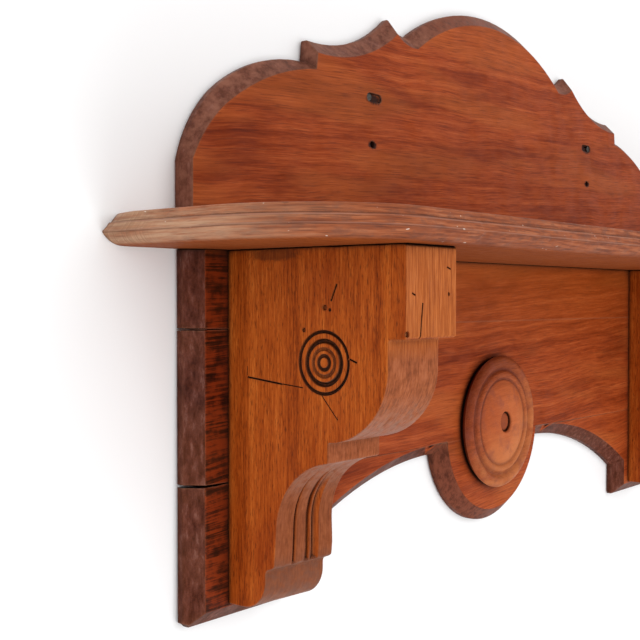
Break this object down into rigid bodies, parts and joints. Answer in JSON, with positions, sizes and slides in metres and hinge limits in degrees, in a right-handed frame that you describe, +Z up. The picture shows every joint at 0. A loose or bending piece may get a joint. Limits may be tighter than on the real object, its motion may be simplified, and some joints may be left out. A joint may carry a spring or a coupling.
{
  "type": "wall shelf",
  "caption": "Wall shelf with a moulded edge on two carved brackets, in front of a shaped back board with a turned boss.",
  "frame": {"origin": "middle of the back board's wall face, at the height of the shelf's underside", "axes": "+Z up, +X to the right as seen from the front, the front of the shelf faces -Y and the wall is the plane Y = 0"},
  "size_m": [0.869, 0.18, 0.4654],
  "materials": {
    "back_wood": "satin varnish, worn",
    "shelf_wood": "worn varnish",
    "bracket_wood": "satin varnish, worn",
    "boss_wood": "satin varnish, worn",
    "fixing_steel": "dull"
  },
  "bodies": {
    "root": {"back_crest": "back_wood", "back_upper_plank": "back_wood", "back_middle_plank": "back_wood", "back_bottom_plank": "back_wood", "shelf_board": "shelf_wood", "left_bracket": "bracket_wood", "right_bracket": "bracket_wood", "centre_boss": "boss_wood", "boss_plug": "boss_wood", "boss_brads": "fixing_steel", "bracket_screws": "fixing_steel", "shelf_screws": "fixing_steel", "back_dowels": "back_wood", "crest_nails": "fixing_steel"}
  },
  "joints": []
}
